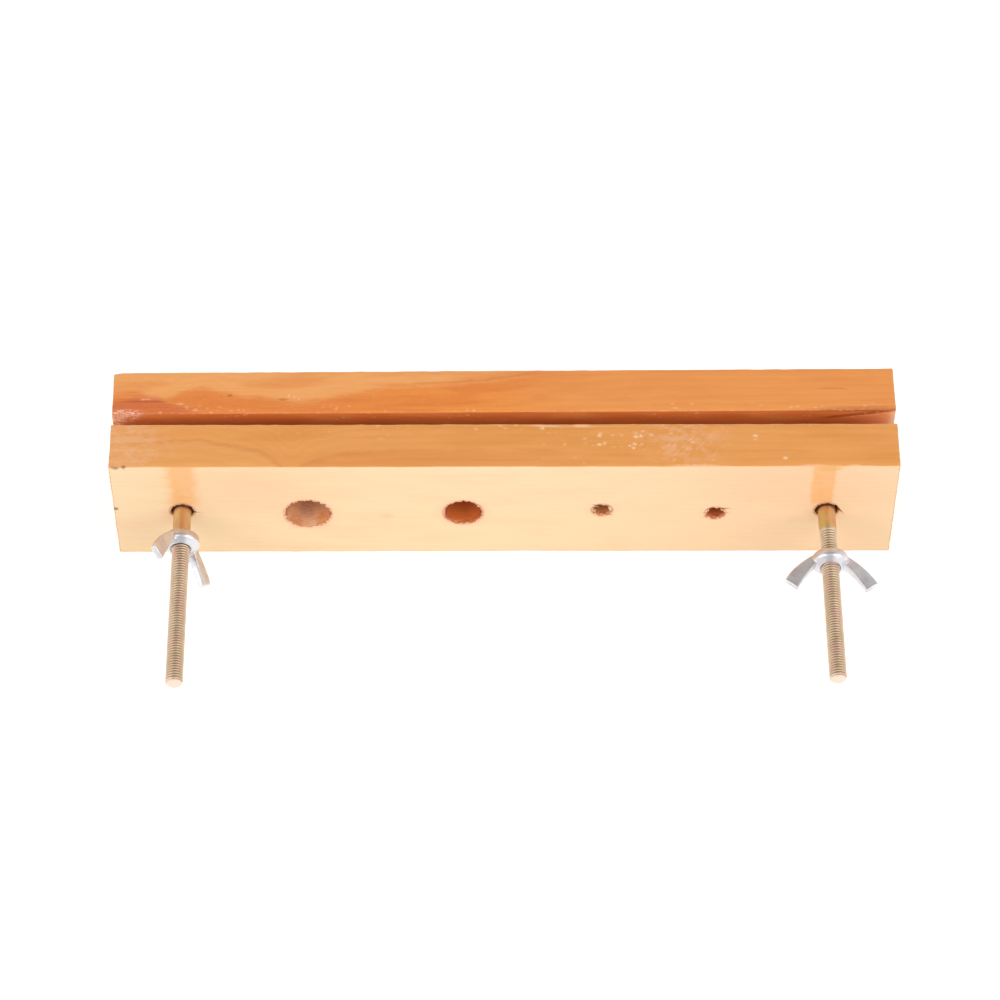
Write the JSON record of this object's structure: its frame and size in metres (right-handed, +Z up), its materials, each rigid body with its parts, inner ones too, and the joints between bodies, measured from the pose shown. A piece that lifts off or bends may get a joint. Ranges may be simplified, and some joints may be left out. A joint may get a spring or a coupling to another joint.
{
  "type": "small wooden book press",
  "caption": "Small wooden book press: pine bars on edge, drawn together by long bolts and wing nuts, with a row of round holes through the front bar.",
  "frame": {"origin": "middle of the rear jaw's foot face, on the bench", "axes": "+X along the jaws to the right, -Y out along the bolts towards the wing nuts, +Z up"},
  "size_m": [0.265, 0.1136, 0.05],
  "materials": {
    "pine": "planed bare pine, warm cream faces and orange-tan edges, with scuffs along the arrises",
    "yellow_zinc_steel": "yellow-passivated zinc, golden on the plain shank and olive-tan on the thread",
    "bright_zinc_steel": "bright zinc plate, softly polished"
  },
  "bodies": {
    "rear_jaw_and_bolts": {"rear_jaw": "pine", "left_bolt": "yellow_zinc_steel", "right_bolt": "yellow_zinc_steel"},
    "front_jaw": {"front_jaw": "pine"},
    "left_wing_nut": {"left_wing_nut": "bright_zinc_steel"},
    "right_wing_nut": {"right_wing_nut": "bright_zinc_steel"}
  },
  "joints": [
    {"name": "front_jaw_slide", "type": "slide", "parent": "rear_jaw_and_bolts", "child": "front_jaw", "axis": [0, -1, 0], "range_m": [-0.0011, 0.044]},
    {"name": "left_nut_spin", "type": "hinge", "parent": "front_jaw", "child": "left_wing_nut", "pos_m": [-0.10915, -0.04218, 0.0245], "axis": [0, -1, 0], "range_deg": [-396.5, 15840.5]},
    {"name": "right_nut_spin", "type": "hinge", "parent": "front_jaw", "child": "right_wing_nut", "pos_m": [0.10915, -0.05162, 0.0245], "axis": [0, -1, 0], "range_deg": [-396.5, 15840.5]}
  ],
  "couplings": [
    {"joint": "left_nut_spin", "follows": "front_jaw_slide", "rad_per_m": 6283.2},
    {"joint": "right_nut_spin", "follows": "front_jaw_slide", "rad_per_m": 6283.2}
  ]
}
